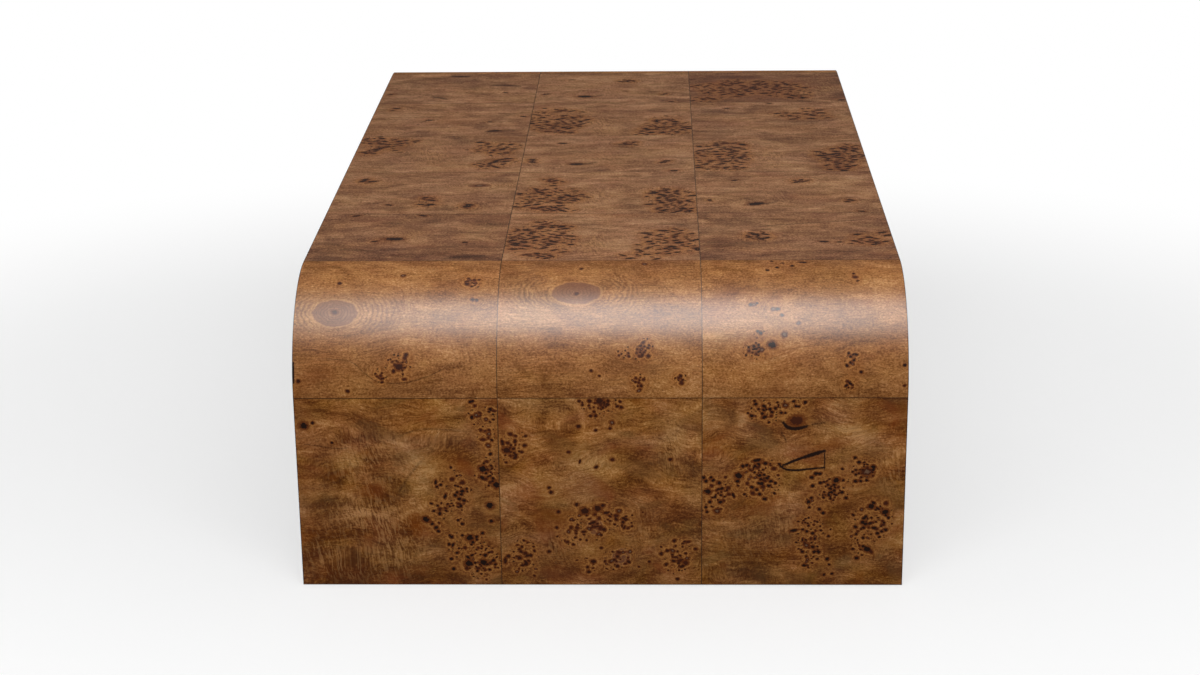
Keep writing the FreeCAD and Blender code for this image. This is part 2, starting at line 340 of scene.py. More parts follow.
bend_right = {
    # The bend's higher level is its own lighter tone and, in part, a painted warm sheen where the
    # bend turns to the light
    "level": .08,
    "dots": [
        (.355, .975), (.41, .945), (.455, .905), (.38, .885), (.33, .855), (.755, .815),
        (.77, .745), (.24, .565), (.27, .575), (.37, .535), (.39, .495), (.27, .395), (.285, .385),
        (.71, .265), (.72, .245), (.77, .155), (.735, .225), (.98, .195),
    ],
    "wide": [(.51, .955)],
    "big": [(.34, .315)],
    "ringed": [(.35, .535), (.47, .445), (.4, .375), (.255, .565)],
    "rust": [(.76, .78), (.98, .075)],
    "clusters": [(.245, .28, .045, .05, 15), (.71, .095, .03, .04, 6), (.72, .235, .03, .05, 5)],
    "lines": [([(.56, .635), (.7, .695), (.83, .695), (.97, .635)], 1.0, .25)],
    "patches": [
        (.5, 1, .9, .11, 0, -.4), (.75, .235, .12, .1, .1, -.3), (.85, .695, .12, .05, 0, .3),
        (.45, .185, .2, .08, 0, .15), (.05, .535, .08, .3, 0, .1),
    ],
    "feathers": [(.85, .735, .08, .05, .6)],
}

# The patterns that come back on the top, where leaves of one bundle lie one after the other
paw = {
    "level": .04,
    "clusters": [
        (.18, .4, .155, .24, 62), (.86, .33, .125, .24, 52), (.19, .77, .06, .06, 6),
        (.2, .1, .08, .06, 10),
    ],
    "rust": [(.19, .76), (.12, .12)],
    "patches": [
        (.18, .4, .14, .2, .25, -.2), (.86, .33, .11, .2, .25, -.2), (.5, .3, .1, .18, -.15, .45),
        (.65, .75, .2, .12, 0, -.1),
    ],
    "feathers": [(.45, .35, .1, .25, .8)],
    "lines": [([(.52, .05), (.48, .2), (.5, .38), (.56, .5)], 1.5, .25)],
}

sparse = {
    "level": .02,
    "dots": [(.22, .78), (.82, .25), (.88, .03), (.84, .29)],
    "big": [(.32, .21)],
    "rust": [(.61, .75)],
    "clusters": [(.61, .75, .06, .05, 7), (.07, .3, .03, .04, 3)],
    "lines": [([(.32, .2), (.4, .22), (.45, .29)], 3.5, .5), ([(.55, .7), (.62, .75)], 4, .5)],
    "patches": [(.3, .5, .3, .15, 0, .15), (.8, .6, .2, .15, 0, .1), (.1, .1, .1, .1, 0, -.2)],
    "feathers": [(.4, .4, .2, .2, .4)],
}

top_left_1 = {
    "level": -.1,
    "dots": [(.17, .96), (.53, .96), (.32, .4), (.79, .375)],
    "big": [(.42, .45)],
    "lines": [
        ([(.7, .05), (.8, .08), (.95, .1)], 7, .6), ([(.1, .25), (.3, .2), (.5, .22)], 4, .4),
    ],
    "patches": [
        (.5, 0, .9, .2, 0, -.4), (.8, .08, .15, .08, .3, -.4), (.3, .7, .3, .15, 0, .1),
        (.1, .1, .15, .1, 0, -.2),
    ],
    "feathers": [(.5, .6, .2, .1, .4)],
}

top_left_2 = {
    "level": .02,
    "dots": [(.75, .17), (.76, .21), (.32, .21), (.13, .83), (.53, .19), (.55, .22)],
    "ringed": [(.79, .67)],
    "clusters": [
        (.53, .38, .05, .05, 9), (.53, .21, .03, .03, 4), (.75, .19, .025, .06, 5),
        (.14, .78, .04, .08, 5),
    ],
    "knots": [(.79, .67, .07, .05, 1)],
    "patches": [(.53, .38, .08, .06, .7, 0), (.4, .8, .2, .1, 0, .15)],
    "lines": [([(.02, .5), (.3, .52), (.55, .55)], 3, .3)],
}

top_left_3 = {
    "level": .03,
    "clusters": [
        (.79, .62, .12, .22, 34), (.79, .18, .07, .1, 10), (.15, .77, .14, .2, 30),
        (.1, .55, .06, .1, 8),
    ],
    "patches": [
        (.79, .62, .1, .16, .3, -.2), (.15, .77, .12, .16, .3, -.2), (.45, .5, .1, .25, -.1, .35),
    ],
    "feathers": [(.45, .5, .12, .3, .8)],
}

top_left_4 = {
    "level": .02,
    "dots": [(.37, .48), (.75, .42), (.95, .58), (.13, .85), (.11, .78)],
    "big": [(.79, .15)],
    "lines": [([(.3, .4), (.37, .48), (.45, .5)], 3.5, .55), ([(.72, .12), (.86, .16)], 6, .6)],
    "patches": [(.79, .15, .1, .05, .2, -.4), (.35, .2, .2, .1, 0, .1)],
}

top_left_5 = {
    "level": .01,
    "dots": [(.05, .3), (.8, .35)],
    "lines": [
        ([(.38, .95), (.45, .92), (.55, .9)], 6, .7), ([(.65, .62), (.77, .6), (.92, .55)], 6, .6),
        ([(.3, .24), (.37, .2), (.45, .12)], 5, .6),
    ],
    "patches": [
        (.45, .92, .1, .05, .2, -.5), (.77, .6, .15, .06, .2, -.4), (.06, .3, .06, .1, .5, 0),
    ],
}

top_right_1 = {
    "level": -.05,
    "dots": [(.64, .37), (.82, .52), (.955, .56), (.98, .5), (.72, .36), (.8, .38)],
    "clusters": [(.3, .44, .07, .09, 14), (.88, .35, .12, .12, 12)],
    "lines": [
        ([(.2, .66), (.45, .74), (.7, .8), (.98, .86)], 2.5, .5), ([(.25, .6), (.4, .65)], 3.5, .5),
    ],
    "patches": [
        (.5, 0, .9, .22, 0, -.65), (.87, .4, .13, .18, .3, -.45), (.3, .2, .2, .1, 0, .1),
        (.5, .9, .3, .08, 0, .15),
    ],
}

top_right_4 = {
    "dots": [(.23, .81), (.5, .96)],
    "clusters": [(.67, .52, .12, .14, 22)],
    "patches": [(.67, .52, .12, .12, .3, -.1), (.2, .4, .2, .2, 0, .1)],
}

top_right_5 = {
    "level": -.16,
    "clusters": [(.22, .3, .2, .24, 60), (.55, .4, .16, .26, 46), (.25, .65, .15, .15, 14)],
    "dots": [(.97, .06)],
    "patches": [
        (.25, .45, .34, .5, .5, -.7), (.58, .35, .18, .4, .4, -.4), (.85, .55, .12, .35, 0, .5),
    ],
    "feathers": [(.85, .5, .12, .3, .6)],
}

# For each kind of row: its run, how strongly its figure swirls, how crowded its clusters are,
# how far apart their eyes stay, how much these grow across and along, and how dull its colour is
Row = namedtuple("Row", "run figure crowding gap growth dullness")
leg_row = Row(leg_run, 1, 1.5, 0.6, (1, 1), 0)
bend_row = Row(bend_run, 0.15, 1, 0.8, (1, 1), 0.1)
top_row = Row(top_row_run, 0.3, 1.1, 1.5, (2.7, 1.6), 1)

# The back is out of sight in the photograph. Its leaves come from the same bundles.
leaf_rows = [
    ("front_leg_leaf", leg_row, (leg_left, leg_centre, leg_right)),
    ("front_bend_leaf", bend_row, (bend_left, bend_centre, bend_right)),
    ("top_leaf_1", top_row, (top_left_1, paw, top_right_1)),
    ("top_leaf_2", top_row, (top_left_2, paw, sparse)),
    ("top_leaf_3", top_row, (top_left_3, sparse, paw)),
    ("top_leaf_4", top_row, (top_left_4, paw, top_right_4)),
    ("top_leaf_5", top_row, (top_left_5, sparse, top_right_5)),
    ("back_bend_leaf", bend_row, (bend_right, bend_left, bend_centre)),
    ("back_leg_leaf", leg_row, (leg_right, leg_left, leg_centre)),
]


# Eyes, as rows of a table: middle across and along, half lengths across and along, kind, lean

# Rings of vertices round an eye, as shares of its half lengths, for a large and a small one
large_rings, large_corners = (0.6, 1.0, 1.45, 2.2, 3.6), 9
small_rings, small_corners = (1.0, 1.8, 3.2), 7
small_reach = 1.7
bare_reach = 1.9
farthest_reach = 4.5
clump_size = 6
crowded_count = 16
try_count = 40
small_kinds = (0.0, 0.0, 0.0, 0.5, 0.5, 1.0)
border = 2


def scattered_eyes(rng, cluster, row, placed):
    """Small eyes in clumps through one burl cluster, kept apart from each other."""
    middle_u, middle_v, reach_u, reach_v, count = cluster
    grow_u, grow_v = row.growth
    count = round(count * row.crowding)
    spread = 0.5 if count > crowded_count else 0.3
    clumps = rng.normal(0, spread, (max(2, count // clump_size), 2))
    eyes = []
    for _ in range(count):
        size = 0.95 + 1.15 * rng.uniform(0, 1) ** 2
        for _ in range(try_count):
            clump_u, clump_v = clumps[rng.integers(len(clumps))] + rng.normal(0, 0.3, 2)
            u = (middle_u + reach_u * clump_u) * leaf_width
            v = (middle_v + reach_v * clump_v) * row.run
            inside = border < u < leaf_width - border and border < v < row.run - border
            gaps = [math.hypot((u - eye[0]) / grow_u, (v - eye[1]) / grow_v) - eye[3] / grow_v
                    for eye in placed + eyes]
            if inside and min(gaps, default=math.inf) > size + row.gap:
                kind = rng.choice(small_kinds) * (size > 1.1) * (1 - row.dullness)
                half_u = size * grow_u * rng.uniform(0.8, 1.5)
                half_v = size * grow_v * rng.uniform(0.7, 1.1)
                eyes.append((u, v, half_u, half_v, kind, rng.uniform(-0.7, 0.7)))
                break
    return eyes


def leaf_eyes(rng, marks, row):
    eyes = []
    for form, (half_u, half_v, kind) in eye_forms.items():
        for u, v in marks.get(form, []):
            size = rng.uniform(0.75, 1.2)
            halves = (half_u * size * row.growth[0], half_v * size * row.growth[1])
            eyes.append((u * leaf_width, v * row.run, *halves, kind, rng.uniform(-0.5, 0.5)))
    for cluster in marks.get("clusters", []):
        eyes += scattered_eyes(rng, cluster, row, list(eyes))
    eyes = np.array(eyes)
    eyes[:, 4] = np.maximum(eyes[:, 4], marks.get("redness", 0))
    return eyes


def eye_points(eye):
    """The middle of an eye and rings round it, so that the mesh can carry its shape."""
    u, v, half_u, half_v, _, lean = eye
    is_small = half_u + half_v < 2 * small_reach
    rings, corners = (small_rings, small_corners) if is_small else (large_rings, large_corners)
    found = [eye[None, :2]]
    for ring, reach in enumerate(rings):
        around = (np.arange(corners) * 2 + ring) * math.pi / corners
        ring_u, ring_v = reach * half_u * np.cos(around), reach * half_v * np.sin(around)
        found.append(columns(u + ring_u * math.cos(lean) - ring_v * math.sin(lean),
                             v + ring_u * math.sin(lean) + ring_v * math.cos(lean)))
    return found


# Dark lines

line_pitch = 3


def drawn_lines(marks, run):
    """Each dark line as evenly spaced points, with its directions, half width and strength."""
    for points, half, strength in marks.get("lines", []):
        points = np.array(points) * (leaf_width, run)
        for _ in range(2):
            ahead = points[:-1] * 0.75 + points[1:] * 0.25
            behind = points[:-1] * 0.25 + points[1:] * 0.75
            middle = np.stack([ahead, behind], 1).reshape(-1, 2)
            points = np.vstack([points[:1], middle, points[-1:]])
        steps = np.linalg.norm(np.diff(points, axis=0), axis=1)
        reach = np.concatenate([[0], np.cumsum(steps)])
        at = np.linspace(0, reach[-1], max(3, int(reach[-1] / line_pitch)))
        line = columns(*(np.interp(at, reach, points[:, axis]) for axis in (0, 1)))
        direction = np.gradient(line, axis=0)
        yield line, direction / np.linalg.norm(direction, axis=1, keepdims=True), half, strength


def line_points(marks, run):
    """Points along and beside each dark line, so that the mesh can carry its shape."""
    found = [np.zeros((0, 2))]
    for line, direction, half, _ in drawn_lines(marks, run):
        sideways = columns(-direction[:, 1], direction[:, 0])
        found += [line + sideways * offset * half for offset in (-2, -1, 0, 1, 2)]
    return np.vstack(found)


def line_darkness(marks, run, u, v):
    """How dark each point is from the lines near it, from 0 to 1."""
    dark = np.zeros_like(u)
    every = np.arange(len(u))
    for line, _, half, strength in drawn_lines(marks, run):
        start, step = line[:-1], np.diff(line, axis=0)
        from_start = columns(u, v)[:, None] - start
        share = np.clip((from_start * step).sum(2) / (step ** 2).sum(1), 0, 1)
        gap = np.linalg.norm(from_start - share[..., None] * step, axis=2)
        nearest = gap.argmin(1)
        place = (nearest + share[every, nearest]) / len(step)
        taper = np.clip(np.minimum(place, 1 - place) * 5, 0.25 if strength < 1 else 0.6, 1)
        fade = np.interp(gap[every, nearest] / half, [0, 1, 2], [1, 0.4, 0])
        dark = np.maximum(dark, strength * taper * fade)
    return dark


def spots(marks, key, run, u, v):
    """The sum of soft oval spots, for each value that they carry."""
    total = 0 * columns(u, v)
    for middle_u, middle_v, reach_u, reach_v, *values in marks.get(key, []):
        away_u, away_v = u / leaf_width - middle_u, v / run - middle_v
        total += columns(np.exp(-(away_u / reach_u) ** 2 - (away_v / reach_v) ** 2)) * values
    return total.T


def leaf_attributes(marks, row, eyes, u, v, edge, seed):
    """What the burl material reads at each point of a leaf."""
    away_u, away_v = u[:, None] - eyes[:, 0], v[:, None] - eyes[:, 1]
    cosine, sine = np.cos(eyes[:, 5]), np.sin(eyes[:, 5])
    reach = np.hypot((away_u * cosine + away_v * sine) / eyes[:, 2],
                     (away_v * cosine - away_u * sine) / eyes[:, 3])
    spread = 2.5 + 1.6 * (eyes[:, 2] + eyes[:, 3])
    close = np.exp(-(away_u ** 2 + away_v ** 2) / (2 * spread ** 2))
    grain_v = v - 0.8 * (away_v * close).sum(1) / np.maximum(close.sum(1), 1)
    burl = 1 - (1 - 0.5 * close).prod(1)
    knot, ringed = np.full_like(u, 4.0), np.zeros_like(u)
    for middle_u, middle_v, reach_u, reach_v, strength in marks.get("knots", []):
        to_u = (u / leaf_width - middle_u) / reach_u
        to_v = (v / row.run - middle_v) / reach_v
        radius = np.hypot(to_u, to_v)
        knot = np.minimum(knot, radius)
        sideways = np.clip(abs(to_u) / np.maximum(radius, 0.01), 0, 1) ** 2
        fade = np.interp(radius, [1, 1.2, 2.2, 3.3], [0, 1, 1, 0])
        ringed = np.maximum(ringed, strength * sideways * fade)
        grain_v = grain_v - 0.6 * (v - middle_v * row.run) * np.exp(-radius ** 2 / 3)
    rust, tone = spots(marks, "patches", row.run, u, v)
    feather = spots(marks, "feathers", row.run, u, v)[0]
    eye = np.minimum(reach.min(1), farthest_reach)
    return {
        "sheet": columns(u, v, 300 * seed),
        "grain": columns(u, grain_v, row.dullness),
        "eye": columns(eye, eyes[reach.argmin(1), 4], burl),
        "tone": columns(tone, rust, feather),
        "marks": columns(line_darkness(marks, row.run, u, v), knot, edge),
        "leaf": columns(marks.get("level", 0), row.figure, ringed),
    }


# Leaves of veneer

weld_distance = 0.02
same_place = 0.01


class Way:
    """One way over a leaf, walked from rim to rim: its run, and at which ends it has an arris."""

    def __init__(self, run, low_arris, high_arris):
        self.run, self.arrises = run, (low_arris, high_arris)
        self.extra = [arris_arc - arris_radius if arris else -seam_gap for arris in self.arrises]
        self.whole = run + sum(self.extra)

    def lines(self):
        """Distances walked, close together near the rims and evenly spread between."""
        arris_lines = [arris_arc * share for share in arris_steps]
        low, high = ((arris_lines if arris else [0, groove_width]) + list(rim_steps)
                     for arris in self.arrises)
        start, end = low[-1], self.whole - high[-1]
        inner = np.linspace(start, end, round((end - start) / grid_pitch) + 1)[1:-1]
        return np.array(low + list(inner) + [self.whole - x for x in reversed(high)])

    def places(self, walked):
        """Place on the leaf from its low side, and depth, of distances walked."""
        places, depths = [], []
        for way, arris in zip((walked, self.whole - walked), self.arrises):
            turn = np.clip(way / arris_arc, 0, 1) * math.pi / 2
            if arris:
                past = np.clip(way - arris_arc, 0, None)
                places.append(arris_radius * (1 - np.cos(turn)) + past)
                depths.append(arris_radius * (1 - np.sin(turn)))
            else:
                places.append(way + seam_gap)
                depths.append(groove_depth * np.clip(1 - way / groove_width, 0, 1))
        place = np.where(walked < self.whole / 2, places[0], self.run - places[1])
        return place, np.maximum(*depths)

    def lean(self, place):
        """Sine of the angle by which a rounded arris turns the normal outwards."""
        lean = np.zeros_like(place)
        for gap, arris in zip((place, self.run - place), self.arrises):
            if arris:
                lean = np.maximum(lean, np.clip(1 - gap / arris_radius, 0, 1))
        return np.where(place < self.run / 2, -1, 1) * lean * steepest_lean


def leaf_mesh(ways, eyes, marks, run):
    """Vertices of a leaf's face, as distances walked, and its triangles."""
    lines = [way.lines() for way in ways]
    shift = np.array([way.extra[0] for way in ways])
    low = np.array([line[0] for line in lines]) + rim_clearance
    high = np.array([line[-1] for line in lines]) - rim_clearance

    def is_inner(points):
        return ((points > low) & (points < high)).all(1)

    # The grid leaves room for the rings round the eyes
    grid = np.stack(np.meshgrid(*lines, indexing="ij"), -1).reshape(-1, 2)
    gap = grid[:, None] - (eyes[:, :2] + shift)
    near = (np.hypot(gap[..., 0] / eyes[:, 2], gap[..., 1] / eyes[:, 3]) < bare_reach).any(1)
    grid = grid[~(near & is_inner(grid))]
    extra = [line_points(marks, run)]
    for eye in eyes:
        extra += eye_points(eye)
    extra = np.vstack(extra) + shift
    points = np.vstack([grid, extra[is_inner(extra)]])
    points = [Vector(point) for point in points.tolist()]
    walked, _, faces, *_ = delaunay_2d_cdt(points, [], [], 0, weld_distance)
    return np.array([(point.x, point.y) for point in walked]), [list(face) for face in faces]


def leaf_shell(walked):
    """Walls and back of a leaf: the vertices of its rim in order, which the back repeats, and
    the faces."""
    def side(axis, value):
        members = np.where(abs(walked[:, axis] - value) < same_place)[0]
        return members[np.argsort(walked[members, 1 - axis])]
    (low_u, low_v), (high_u, high_v) = walked.min(0), walked.max(0)
    bottom, top, left, right = side(1, low_v), side(1, high_v), side(0, low_u), side(0, high_u)
    loop = [*bottom[:-1], *right[:-1], *top[:0:-1], *left[:0:-1]]
    below = {member: len(walked) + index for index, member in enumerate(loop)}
    shell = [[here, below[here], below[ahead], ahead]
             for here, ahead in zip(loop, loop[1:] + loop[:1])]
    last = len(left) - 2
    for level in range(last + 1):
        face = [left[level], left[level + 1]]
        if level == last:
            face += [*top[1:-1]]
        face += [right[level + 1], right[level]]
        if level == 0:
            face += [*bottom[-2:0:-1]]
        shell.append([below[member] for member in face])
    return loop, shell


def build_leaf(name, ways, corner, row, marks, seed):
    """One leaf of veneer: a thin closed slab whose outer face carries every mark of the burl."""
    eyes = leaf_eyes(np.random.default_rng(seed), marks, row)
    walked, faces = leaf_mesh(ways, eyes, marks, row.run)
    (u, depth_u), (v, depth_v) = (way.places(walked[:, axis]) for axis, way in enumerate(ways))
    depth = arris_radius * (1 - (1 - depth_u / arris_radius) * (1 - depth_v / arris_radius))
    across, along = corner[0] + u, corner[1] + v
    face_places, outward = on_slab(across, along, depth)

    # The normal leans outwards on a rounded arris
    lean_u, lean_v = ways[0].lean(u), ways[1].lean(v)
    ahead = columns(0, outward[:, 2], -outward[:, 1])
    normals = outward * np.sqrt(np.clip(1 - lean_u ** 2 - lean_v ** 2, 0.02, 1))[:, None]
    normals += ahead * lean_v[:, None] + columns(lean_u, 0, 0)
    normals /= np.linalg.norm(normals, axis=1, keepdims=True)

    loop, shell = leaf_shell(walked)
    back_places, _ = on_slab(across[loop], along[loop], veneer_thickness)
    places = np.vstack([face_places, back_places])
    corner_normals = [tuple(normals[member]) for face in faces for member in face]
    for face in shell:
        corner_normals += flat_normals(places, face)

    # Distance to the nearest rim, less arris_shade beside an arris, for the painted shade at seams
    # and arrises
    gaps = np.stack([u, leaf_width - u, v, row.run - v])
    at_arris = np.array(ways[0].arrises + ways[1].arrises)[gaps.argmin(0)]
    edge = gaps.min(0) - arris_shade * at_arris
    attributes = leaf_attributes(marks, row, eyes, u, v, edge, seed)
    attributes = {key: np.vstack([values, values[loop]]) for key, values in attributes.items()}
    return mesh_object(name, places, faces + shell, corner_normals, attributes)


# Plain bodies that follow the slab: the inner veneers and the edge veneers

# A face that looks this much along the slab's normal is shaded round with it
outer_face = 0.9


def slab_body(*lines):
    """A closed body between lines across, along and in depth. Returns its places, the slab's
    outward normals there, its coordinates on the slab and its faces."""
    index, faces = {}, []
    for axis in range(3):
        one, two = [other for other in range(3) if other != axis]
        for end in (0, len(lines[axis]) - 1):
            # Across, along and outwards make a right-handed set, so depth is left-handed
            order = -1 if (end == 0) == (axis != 1) else 1
            for i in range(len(lines[one]) - 1):
                for j in range(len(lines[two]) - 1):
                    face = []
                    for di, dj in ((0, 0), (1, 0), (1, 1), (0, 1)):
                        key = [0, 0, 0]
                        key[axis], key[one], key[two] = end, i + di, j + dj
                        face.append(index.setdefault(tuple(key), len(index)))
                    faces.append(face[::order])
    coordinates = np.array([[lines[axis][key[axis]] for axis in range(3)] for key in index])
    return *on_slab(*coordinates.T), coordinates, faces


def build_band(name, bodies):
    """One object of several closed bodies, each given by its lines across, along and in depth."""
    places, coordinates, faces, normals = [], [], [], []
    first = 0
    for lines in bodies:
        body_places, outward, body_coordinates, body_faces = slab_body(*lines)
        for face in body_faces:
            flat = flat_normals(body_places, face)
            facing = (outward[face] @ flat[0]).mean()
            smooth = [tuple(np.sign(facing) * normal) for normal in outward[face]]
            normals += smooth if abs(facing) > outer_face else flat
            faces.append([first + member for member in face])
        places.append(body_places)
        coordinates.append(body_coordinates)
        first += len(body_places)
    sheet = {"sheet": np.vstack(coordinates)}
    return mesh_object(name, np.vstack(places), faces, normals, sheet)


body_runs = {
    "front_leg": (0, leg_run),
    "front_bend": (leg_run, front_run),
    "top": (front_run, slab_run - front_run),
    "back_bend": (slab_run - front_run, slab_run - leg_run),
    "back_leg": (slab_run - leg_run, slab_run),
}
fine_pitch = 5.0
coarse_pitch = 40.0


def run_lines(name):
    start, end = body_runs[name]
    pitch = fine_pitch if "bend" in name else coarse_pitch
    return np.linspace(start, end, round((end - start) / pitch) + 1)


def build_inner_veneers(material):
    depths = (slab_thickness - veneer_thickness, slab_thickness)
    across = np.linspace(-half_width, half_width, 17)
    for name in body_runs:
        piece = build_band(f"{name}_lining", [(across, run_lines(name), depths)])
        node = "top_underside_veneer" if name == "top" else f"{name}_inner_veneer"
        finish_piece(piece, material, node)


def build_edge_veneers(material):
    depths = np.linspace(veneer_thickness, slab_thickness - veneer_thickness, 9)
    inner = half_width - veneer_thickness
    for side, across in (("left", (-half_width, -inner)), ("right", (inner, half_width))):
        bodies = [(across, run_lines(name), depths) for name in body_runs]
        piece = build_band(f"{side}_edge_band", bodies)
        finish_piece(piece, material, f"{side}_edge_veneer")


# Glides: a moulded disc with a rounded rim, a shallow dish underneath and a stem

glide_corners = 48
disc_radius, disc_top = 12.5, 4.0
stem_radius, stem_bevel = 4.0, 1.0
dish_profile = [
    (0, 0.35), (7.5, 0.35), (8.3, 0.1), (8.8, 0), (11.2, 0), (11.9, 0.18), (12.35, 0.55),
    (disc_radius, 1.0), (disc_radius, disc_top), (stem_radius, disc_top),
]


def turned_body(profile, x, y, first):
    """Places and faces of a closed body turned about an upright axis, counted from first."""
    turns = [2 * math.pi * corner / glide_corners for corner in range(glide_corners)]
    places = [(x, y, profile[0][1])]
    for radius, z in profile[1:-1]:
        places += [(x + radius * math.cos(turn), y + radius * math.sin(turn), z)
                   for turn in turns]
    places.append((x, y, profile[-1][1]))
    faces = []
    last = len(places) - 1
    for corner in range(glide_corners):
        ahead = (corner + 1) % glide_corners
        faces.append([0, 1 + ahead, 1 + corner])
        for here in range(1, last - glide_corners, glide_corners):
            above = here + glide_corners
            faces.append([here + corner, here + ahead, above + ahead, above + corner])
        faces.append([last - glide_corners + corner, last - glide_corners + ahead, last])
    return places, [[first + member for member in face] for face in faces]


def build_glides(material):
    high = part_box("glides")[1]
    middle_x, middle_y = high.x / mm - disc_radius, half_length - slab_thickness / 2
    stem_top = high.z / mm
    profile = dish_profile + [
        (stem_radius, stem_top - stem_bevel), (stem_radius - stem_bevel, stem_top), (0, stem_top),
    ]
    places, faces = [], []
    for side_x in (-1, 1):
        for side_y in (-1, 1):
            more = turned_body(profile, side_x * middle_x, side_y * middle_y, len(places))
            places, faces = places + more[0], faces + more[1]
    places = np.array(places)
    normals = [normal for face in faces for normal in flat_normals(places, face)]
    piece = mesh_object("push_in_glides", places, faces, normals, {"sheet": places})
    finish_piece(piece, material, "glides")


# Materials


class Value:
    """An output of a shader node. Arithmetic with it adds the nodes that work it out."""

    def __init__(self, shader, socket):
        self.shader, self.socket = shader, socket

    def __rsub__(self, other):
        return self.shader.math("SUBTRACT", other, self)


def arithmetic(operation):
    return lambda value, other=0.0: value.shader.math(operation, value, other)


Value.__add__ = Value.__radd__ = arithmetic("ADD")
Value.__mul__ = Value.__rmul__ = arithmetic("MULTIPLY")
Value.__sub__ = arithmetic("SUBTRACT")
Value.__pow__ = arithmetic("POWER")
Value.__lt__ = arithmetic("LESS_THAN")
Value.__abs__ = arithmetic("ABSOLUTE")


class Shader:
    """The node tree of a material or a world, built one node at a time."""

    def __init__(self, owner):
        owner.use_nodes = True
        self.owner, self.tree = owner, owner.node_tree
        self.tree.nodes.clear()
        self.face = None

    def add(self, kind, inputs=None, **settings):
        """Adds a node and returns its outputs."""
        node = self.tree.nodes.new("ShaderNode" + kind)
        for key, value in settings.items():
            setattr(node, key, value)
        for key, value in (inputs or {}).items():
            if isinstance(value, Value):
                self.tree.links.new(value.socket, node.inputs[key])
            else:
                node.inputs[key].default_value = value
        return [Value(self, socket) for socket in node.outputs]

    def named(self, kind, inputs=None, **settings):
        """Adds a node and returns its outputs by name."""
        return {value.socket.name: value for value in self.add(kind, inputs, **settings)}

    def attribute(self, name):
        return self.named("Attribute", attribute_name=name)["Vector"]

    def parts(self, vector):
        return self.add("SeparateXYZ", {0: vector})

    def vector(self, x, y, z):
        return self.add("CombineXYZ", {0: x, 1: y, 2: z})[0]

    def scaled(self, vector, factors):
        return self.add("VectorMath", {0: vector, 1: factors}, operation="MULTIPLY")[0]

    def counted(self, vector, lengths):
        """The vector counted in steps of these lengths. A third length left out is 1."""
        x, y, z = (*lengths, 1)[:3]
        return self.scaled(vector, (1 / x, 1 / y, 1 / z))

    def math(self, operation, first, second=0.0):
        return self.add("Math", {0: first, 1: second}, operation=operation)[0]

    def noise(self, vector, lengths, detail=2.0, roughness=0.5, distortion=0.0):
        inputs = {"Vector": self.counted(vector, lengths), "Scale": 1.0, "Detail": detail,
                  "Roughness": roughness, "Distortion": distortion}
        return self.add("TexNoise", inputs)[0]

    def swing(self, *noise_settings):
        """A noise's way from its middle, to both sides of zero."""
        return self.noise(*noise_settings) - 0.5

    def cells(self, vector, lengths):
        """Distance to the middle of the nearest cell, and a number drawn for that cell."""
        inputs = {"Vector": self.counted(vector, lengths), "Scale": 1.0}
        found = self.named("TexVoronoi", inputs, voronoi_dimensions="2D")
        return found["Distance"], self.parts(found["Color"])[0]

    def span(self, value, low, high, to_low=0.0, to_high=1.0):
        """The value's way from low to high, eased, as a number between two others."""
        inputs = {0: value, 1: low, 2: high, 3: to_low, 4: to_high}
        return self.add("MapRange", inputs, interpolation_type="SMOOTHSTEP")[0]

    def blend(self, share, first, second):
        return self.add("Mix", {0: share, 6: first, 7: second}, data_type="RGBA")[2]

    def lay(self, share, tone):
        """Lays a colour over the face as it is so far."""
        self.face = self.blend(share, self.face, tone)

    def ramp(self, value, stops):
        """Starts the face with a ramp of colours."""
        self.face = self.add("ValToRGB", {0: value})[0]
        elements = self.face.socket.node.color_ramp.elements
        while len(elements) < len(stops):
            elements.new(0.5)
        for element, (place, tone) in zip(elements, stops):
            element.position, element.color = place, tone

    def finish(self, roughness, height, depth, coat=None):
        """Closes a material: its face, its relief of this depth and its coat, if any."""
        relief = {"Height": height, "Strength": 1.0, "Distance": depth * mm}
        inputs = {"Base Color": self.face, "Roughness": roughness,
                  "Normal": self.add("Bump", relief)[0], **(coat or {})}
        self.add("OutputMaterial", {0: self.add("BsdfPrincipled", inputs)[0]})
        return self.owner


def new_shader(name):
    return Shader(bpy.data.materials.new(name))


def colour(*parts):
    return (*parts, 1)


def lacquer(weight, roughness):
    return {"Specular IOR Level": 0.0, "Metallic": 0.0, "Coat Weight": weight,
            "Coat Roughness": roughness, "Coat IOR": 1.5}


wood_tones = [
    (0.00, colour(0.075, 0.020, 0.004)), (0.25, colour(0.150, 0.048, 0.010)),
    (0.50, colour(0.270, 0.104, 0.026)), (0.75, colour(0.400, 0.170, 0.050)),
    (1.00, colour(0.560, 0.280, 0.105)),
]
golden_tan = colour(0.50, 0.25, 0.09)
shade_brown = colour(0.095, 0.028, 0.007)
olive_brown = colour(0.150, 0.072, 0.020)
rust_brown = colour(0.230, 0.060, 0.012)
burl_brown = colour(0.088, 0.019, 0.004)
knot_taupe = colour(0.175, 0.067, 0.036)
ring_brown = colour(0.120, 0.050, 0.020)
eye_black = colour(0.012, 0.004, 0.002)
eye_rust = colour(0.052, 0.012, 0.004)
eye_grey = colour(0.150, 0.080, 0.045)
halo_brown = colour(0.062, 0.013, 0.003)
halo_red = colour(0.120, 0.027, 0.005)
burl_gold = colour(0.50, 0.215, 0.055)
painted_edge_shade = colour(0.020, 0.010, 0.006)


